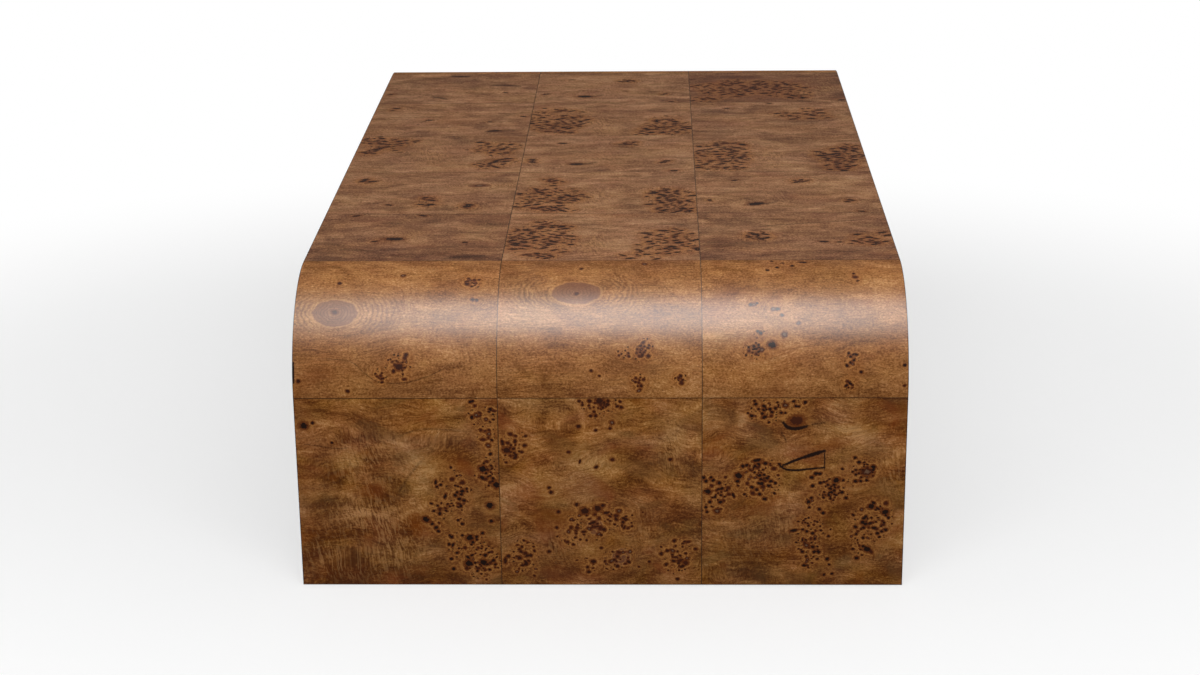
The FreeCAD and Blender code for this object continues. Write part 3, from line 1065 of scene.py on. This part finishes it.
def burl_material():
    """Lacquered burl veneer. Lengths are in millimetres on the leaf."""
    s = new_shader("burl_veneer")
    sheet = s.attribute("sheet")
    leaf_depth = s.parts(sheet)[2]
    eye, kind, burl = s.parts(s.attribute("eye"))
    tone, rust, feather = s.parts(s.attribute("tone"))
    dark, knot, edge = s.parts(s.attribute("marks"))
    level, figure, ringed = s.parts(s.attribute("leaf"))
    grain_u, grain_v, dullness = s.parts(s.attribute("grain"))

    # The grain wanders, so that no line runs straight
    wander = s.swing(sheet, (120, 85), 3, 0.45)
    bent_v = grain_v + (figure * 75 + 12) * wander
    bent = s.vector(grain_u, bent_v, leaf_depth)

    # Soft clouds, long bands, a curl, fine lines along the grain, a mottle and a finer grit
    clouds = s.noise(sheet, (95, 58), 4, 0.5, 1.4)
    cloudy = (clouds - 0.5) * (figure * 1.1 + 0.75)
    bands = s.swing(bent, (125, 18), 4, 0.55, 0.3) * (dullness * 0.22 + figure * 0.2 + 0.38)
    curl = s.swing(bent, (15, 9), 3, 0.55, 0.8) * 0.6
    lines = s.swing(bent, (38, 2.6), 3, 0.6) * (figure * 0.4 + 0.5)
    mottle = s.noise(sheet, (4.5, 3.4), 4, 0.65)
    grit = s.swing(bent, (2.8, 1.9), 2, 0.7) * 1.3
    light = mottle * 0.9 + 0.05 + curl + grit + lines + bands + cloudy
    # Each leaf's level and its patches' tone shift the ramp; these carry the painted shade at the
    # foot of the front legs and, in part, a painted warm sheen on the bend
    s.ramp(light + level + tone * 0.3, wood_tones)

    # Areas that lean to rust and to olive
    hue = s.noise(sheet, (85, 55, 3), 3, 0.5, 0.8)
    hued = figure * 0.55 + 0.45
    rusty = s.span(hue, 0.52, 0.66, 0, 0.7) * hued + rust
    s.lay(s.span(rusty, 0.05, 1.0, 0, 0.62), rust_brown)
    olive = s.span(hue, 0.48, 0.36, 0, 0.75) * hued - rust
    s.lay(s.span(olive, 0.1, 1.1, 0, 0.5), olive_brown)

    # Ripple lines, fine and nearly straight, that fade in and out
    ripple_here = s.span(s.noise(sheet, (70, 40, 7), 1), 0.38, 0.62)
    s.lay(s.span(s.noise(bent, (28, 2)), 0.46, 0.62) * ripple_here * 0.34, shade_brown)

    # Duller leaves, and a colour that drifts from place to place
    drifting = figure * 0.75 + 0.25
    drift = s.swing(sheet, (90, 60, 5), 3, 0.45, 0.6) * drifting
    turn = s.swing(sheet, (75, 50, 2), 3, 0.45, 0.6) * drifting
    drifted = {"Hue": turn * 0.033 + 0.5, "Saturation": drift * 0.2 + 1 - dullness * 0.11,
               "Color": s.face}
    s.face = s.add("HueSaturation", drifted)[0]

    # Feathery cross strokes where the figure curls, pale ones and dark ones
    slanted = s.vector(bent_v * 0.22 + grain_u, bent_v, leaf_depth)
    stroke_wave = s.noise(slanted, (3.2, 14), 2, 0.5, 0.9)
    stroke_here = s.span(s.noise(sheet, (34, 26)), 0.26, 0.44) * feather
    for bare, full, strength, stroke_tone in (
        (0.50, 0.60, 0.5, golden_tan), (0.48, 0.38, 0.6, shade_brown),
    ):
        stroke = s.span(stroke_wave, bare, full) * stroke_here * strength
        s.lay(s.math("MINIMUM", stroke, 0.7), stroke_tone)

    # Burl: a golden ground under a red-brown network, with dark pips of all sizes
    calmer = 1 - dullness * 0.6
    burl = s.span(burl, 0.3, 0.9)
    crowded = burl * calmer
    s.lay(crowded * 0.42, rust_brown)
    s.lay(s.span(mottle, 0.42, 0.60, 0.1, 0.7) * burl * calmer ** 1.2, burl_gold)
    network = s.noise(sheet, (5.5, 4.2), 3, 0.6, 1.2)
    s.lay(s.span(abs(network - 0.5), 0.06, 0) * crowded * 0.75, burl_brown)
    s.lay(s.span(network, 0.53, 0.65) * crowded * 0.8, burl_brown)
    for pitch, most, rim, pip_tone in ((5.4, 0.25, 0.36, eye_black), (3.6, 0.12, 0.34, eye_rust)):
        pip, draw = s.cells(sheet, (pitch, pitch * 0.8))
        pip_reach = (mottle - 0.5) * 0.6 + pip + draw * 0.5
        pip_here = draw < s.span(burl, 0.4, 1, 0, most)
        s.lay(s.span(pip_reach, rim, rim - 0.14, 0, 0.92) * pip_here, pip_tone)
    stray, draw = s.cells(sheet, (9.5, 8))
    s.lay(s.span(stray, 0.10, 0.04, 0, 0.75) * (draw < 0.05), eye_rust)

    # Knots: a taupe heart with fine rings, a pale outline, and rings further out at both ends
    knot_reach = s.swing(sheet, (14, 10)) * 0.34 + knot
    far_wave = s.math("SINE", knot_reach * 30 + clouds * 14)
    far_here = s.span(s.noise(sheet, (22, 16, 3), 1), 0.30, 0.52) * ringed
    s.lay(s.span(far_wave, 0.1, 0.95) * far_here * 0.55, ring_brown)
    s.lay(s.span(far_wave, -0.1, -0.95) * far_here * 0.3, golden_tan)
    s.lay(s.span(knot_reach, 1.05, 0.95, 0, 0.7), knot_taupe)
    near_wave = s.span(s.math("SINE", knot_reach * 44), 0.1, 0.95)
    near_here = s.span(knot_reach, 1.0, 0.55, 0.2, 0.6) * (knot_reach < 0.97)
    s.lay(near_wave * near_here, ring_brown)
    s.lay(s.span(knot_reach, 0.11, 0.05, 0, 0.8), eye_rust)
    outline = s.span(knot_reach, 0.97, 1.04) * s.span(knot_reach, 1.15, 1.06)
    s.lay(outline * 0.4, golden_tan)

    # Eyes: a dark core in a red-brown halo, with a broken light ring round it
    reach = s.swing(sheet, (3.4, 2.8), 3, 0.6) * 1.9 + eye
    s.lay(s.span(reach, figure * 0.6 + 2.3, 1.3, 0, 0.85) * calmer ** 0.35, halo_red)
    gleam = s.span(reach, 1.9, 2.3) * s.span(reach, 3.4, 2.7) * s.span(network, 0.42, 0.55)
    s.lay(gleam * calmer * s.span(burl, 0, 1, 0.2, 0.7), burl_gold)
    core = s.blend(s.span(kind, 0.1, 0.5), eye_black, eye_rust)
    core = s.blend(s.span(kind, 0.55, 0.95) * s.span(reach, 0.72, 0.5), core, eye_grey)
    s.lay(s.span(reach, 1.35, 1.05), core)

    # Dark lines and cracks with a ragged side, short pores along the grain, and painted shade for
    # the shadow in the seams' gaps and along the rounded arrises
    ragged = s.swing(sheet, (2.6, 2.6), 3) * dark * 2
    s.lay(s.span(ragged + dark, 0.06, 0.80), eye_black)
    pores = s.span(s.noise(bent, (3.2, 0.42), 1), 0.60, 0.72)
    s.lay(pores * 0.28, halo_brown)
    s.lay(s.span(edge, 0.82, 0.3, 0, 0.86), painted_edge_shade)

    roughness = s.noise(sheet, (70, 50, 9), 3) * 0.12 + 0.36 + pores * 0.05
    height = mottle * 0.4 - pores * 0.5 - s.span(reach, 1.2, 0.6) * 0.5
    return s.finish(roughness, height, 0.03, lacquer(0.1, 0.38))


def plain_wood(name, light_tone, mid_tone, dark_tone, coat, is_crosswise=False, scale=1.0):
    """Straight-grained veneer, drawn along the slab or across it."""
    s = new_shader(name)
    across, along, depth = s.parts(s.attribute("sheet"))
    x, y = (along, across) if is_crosswise else (across, along)
    grain = s.vector(x, y, depth)

    def scaled_noise(vector, lengths, *settings):
        return s.noise(vector, [length * scale for length in lengths], *settings)

    wander = scaled_noise(grain, (90, 260, 60))
    bent = s.vector(wander * (30 * scale) + x, y, depth)
    streaks = scaled_noise(bent, (7, 190, 7), 4, 0.62)
    clouds = scaled_noise(grain, (60, 120, 40))
    stops = [(0.2, colour(*dark_tone)), (0.5, colour(*mid_tone)), (0.85, colour(*light_tone))]
    s.ramp(streaks * 1.2 + clouds * 0.6 - 0.4, stops)
    pores = s.span(s.noise(bent, (0.45, 9, 0.45), 1), 0.6, 0.74)
    s.lay(pores * 0.45, colour(*[0.5 * part for part in dark_tone]))
    fleck = s.noise(grain, (3.5, 3.5, 3.5))
    s.lay(s.span(fleck, 0.55, 0.75, 0, 0.25), colour(*dark_tone))
    return s.finish(streaks * 0.1 + 0.5, streaks * 0.3 - pores, 0.05, coat)


ply_thickness = 1.5


def board_material(name, base, speck, grain, ply_axis=None):
    """Hidden boards and rails, drawn from the place in the table: specks or grain, and plies."""
    s = new_shader(name)
    place = s.named("TexCoord")["Object"]
    fibres = s.noise(place, [length * mm for length in grain], 4, 0.6)
    wide = s.noise(place, [12 * length * mm for length in grain])
    light = s.span(fibres * 0.7 + wide * 0.3, 0.35, 0.65)
    s.face = s.blend(light, colour(*speck), colour(*base))
    if ply_axis is not None:
        turns = s.parts(place)[ply_axis] * (math.pi / (ply_thickness * mm))
        s.lay(s.span(s.math("SINE", turns), -0.1, 0.1) * 0.35, colour(*speck))
    return s.finish(s.span(fibres, 0.3, 0.7, 0.7, 0.85), fibres, 0.1)


def nylon_material():
    s = new_shader("moulded_nylon")
    place = s.attribute("sheet")
    wear = s.noise(place, (6, 6, 6), 3)
    worn, fresh = colour(0.21, 0.155, 0.115), colour(0.16, 0.115, 0.085)
    s.face = s.blend(s.span(wear, 0.4, 0.7), fresh, worn)
    return s.finish(s.span(wear, 0.3, 0.7, 0.42, 0.6), s.noise(place, (0.8, 0.8, 0.8)), 0.02)


def dress_hidden_nodes():
    """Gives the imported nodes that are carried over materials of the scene's own."""
    board, board_speck = (0.42, 0.30, 0.19), (0.30, 0.20, 0.12)
    bent_ply, bent_ply_dark = (0.56, 0.41, 0.26), (0.40, 0.27, 0.16)
    pine, pine_dark = (0.62, 0.44, 0.26), (0.45, 0.28, 0.14)
    birch, birch_dark = (0.60, 0.45, 0.28), (0.38, 0.24, 0.13)
    stained, stained_dark = (0.12, 0.052, 0.022), (0.06, 0.025, 0.011)
    looks = [
        (("leg_outer_skin", "leg_inner_skin", "top_outer_skin", "top_inner_skin"),
         ("fibreboard", board, board_speck, (1.2, 1.2, 0.6))),
        (("bend_outer_skin", "bend_inner_skin"),
         ("bending_plywood", bent_ply, bent_ply_dark, (60, 3, 3))),
        (("leg_rails", "end_rails"), ("rail_wood", pine, pine_dark, (90, 5, 3))),
        (("uprights", "long_rails"), ("upright_wood", pine, pine_dark, (5, 90, 90))),
        (("foot_lippings",), ("foot_wood", stained, stained_dark, (60, 2, 2))),
        (("formers", "long_ribs"), ("plywood_across", birch, birch_dark, (3, 40, 40), 0)),
        (("cross_ribs", "tongues"), ("plywood_along", birch, birch_dark, (40, 3, 40), 1)),
    ]
    for endings, look in looks:
        material = board_material(*look)
        for name, node in nodes.items():
            if name.endswith(endings):
                node.data.materials.clear()
                node.data.materials.append(material)


# The object


def build_table():
    burl = burl_material()
    start = 0
    last_row, last_column = len(leaf_rows) - 1, len(column_names) - 1
    for number, (row_name, row, row_marks) in enumerate(leaf_rows):
        for column, column_name in enumerate(column_names):
            ways = (Way(leaf_width, column == 0, column == last_column),
                    Way(row.run, number == 0, number == last_row))
            corner = (column * leaf_width - half_width, start)
            seed = 1 + number * len(column_names) + column
            node = f"{row_name}_{column_name}"
            name = "burl_" + node.replace("leaf_", "")
            leaf = build_leaf(name, ways, corner, row, row_marks[column], seed)
            finish_piece(leaf, burl, node)
        start += row.run
    build_inner_veneers(plain_wood(
        "plain_veneer", (0.34, 0.165, 0.066), (0.225, 0.100, 0.036), (0.12, 0.048, 0.016),
        lacquer(0.08, 0.42), is_crosswise=True,
    ))
    build_edge_veneers(plain_wood(
        "edge_veneer", (0.33, 0.145, 0.046), (0.21, 0.080, 0.022), (0.11, 0.037, 0.010),
        lacquer(0.1, 0.38), scale=0.8,
    ))
    build_glides(nylon_material())
    dress_hidden_nodes()


# Studio: a pale floor that keeps the shadow, a white surround, soft lamps and the camera

white = colour(1, 1, 1)
shadow_grey = colour(0.9, 0.9, 0.9)
bounce_grey = colour(0.15, 0.15, 0.15)
floor_reach = 9.0
fill_strength = 0.22


def white_rays(s):
    """1 for the rays that show the background itself: seen, mirrored or looked through."""
    path = s.named("LightPath")
    seen_or_mirrored = s.math("MAXIMUM", path["Is Camera Ray"], path["Is Glossy Ray"])
    return s.math("MAXIMUM", seen_or_mirrored, path["Is Transmission Ray"])


def build_floor():
    """A floor that turns from a receiver of shadow into plain white away from the table."""
    mesh = bpy.data.meshes.new("floor")
    signs = ((-1, -1), (1, -1), (1, 1), (-1, 1))
    mesh.from_pydata([(x * floor_reach, y * floor_reach, 0) for x, y in signs], [], [range(4)])
    floor = add_object("floor", mesh)
    s = new_shader("studio_floor")
    away = s.scaled(s.named("TexCoord")["Object"], (0.45, 0.6, 1))
    away = s.named("VectorMath", {0: away}, operation="LENGTH")["Value"]
    shadowed = s.add("BsdfDiffuse", {"Color": shadow_grey})[0]
    plain = s.add("Emission", {"Color": white, "Strength": 1.0})[0]
    dull = s.add("BsdfDiffuse", {"Color": bounce_grey})[0]
    seen = s.add("MixShader", {0: s.span(away, 0.35, 0.85, 0.6, 1), 1: shadowed, 2: plain})[0]
    s.add("OutputMaterial", {0: s.add("MixShader", {0: white_rays(s), 1: dull, 2: seen})[0]})
    mesh.materials.append(s.owner)


def build_surround():
    world = bpy.data.worlds.new("studio")
    bpy.context.scene.world = world
    s = Shader(world)
    fill = s.add("Background", {"Color": white, "Strength": fill_strength})[0]
    plain = s.add("Background", {"Color": white, "Strength": 1.0})[0]
    s.add("OutputWorld", {0: s.add("MixShader", {0: white_rays(s), 1: fill, 2: plain})[0]})


def add_softbox(name, aim, elevation, azimuth, distance, size, radiance):
    """A rectangular lamp that faces its aim. Azimuth 0 is in front of the table."""
    light = bpy.data.lights.new(name, "AREA")
    light.shape = "RECTANGLE"
    light.size, light.size_y = size
    light.energy = radiance * math.pi * size[0] * size[1]
    up, turn = math.radians(elevation), math.radians(azimuth)
    towards = Vector(
        (math.sin(turn) * math.cos(up), -math.cos(turn) * math.cos(up), math.sin(up))
    )
    lamp = add_object(name, light)
    lamp.location = Vector(aim) + towards * distance
    lamp.rotation_mode = "QUATERNION"
    lamp.rotation_quaternion = towards.to_track_quat("Z", "Y")
    return lamp


def build_lamps():
    front_bend = (0.05, -half_length * mm + 0.04, 0.36)
    between_legs = (0, 0, 0.2)
    add_softbox("key_softbox", front_bend, 50, 0, 1.8, (2.0, 0.7), 7.2)
    add_softbox("top_softbox", (0, 0.4, 0.42), 75, 180, 1.3, (1.6, 1.0), 1.1)
    back = add_softbox("back_softbox", (0, 0.7, 0.2), 20, 165, 2.4, (1.6, 0.9), 2.2)
    back.visible_glossy = False
    add_softbox("left_softbox", between_legs, 8, -90, 2.4, (1.8, 0.8), 2.2)
    add_softbox("right_softbox", between_legs, 8, 90, 2.4, (1.8, 0.8), 2.2)
    gleam = add_softbox("gleam_softbox", front_bend, 69, 0, 1.7, (1.3, 1.15), 118)
    gleam.visible_diffuse = False


# The camera that took the photograph, as a place in metres and turns in degrees
camera_place = (0.0748, -3.4074, 1.3686)
camera_pitch = 17.862
camera_yaw = 1.514
camera_roll = -0.635
camera_shift = -0.08
camera_lens = 66.5
sensor_width = 36.0


def build_camera():
    data = bpy.data.cameras.new("camera")
    data.lens = camera_lens
    data.sensor_width = sensor_width
    data.shift_y = camera_shift
    camera = add_object("camera", data)
    pitch = Matrix.Rotation(math.radians(90 - camera_pitch), 4, "X")
    yaw = Matrix.Rotation(math.radians(camera_yaw), 4, "Z")
    roll = Matrix.Rotation(math.radians(camera_roll), 4, "Z")
    camera.matrix_world = Matrix.Translation(camera_place) @ yaw @ pitch @ roll
    bpy.context.scene.camera = camera


build_table()
build_floor()
build_surround()
build_lamps()
build_camera()
bpy.context.scene.view_settings.view_transform = "Standard"
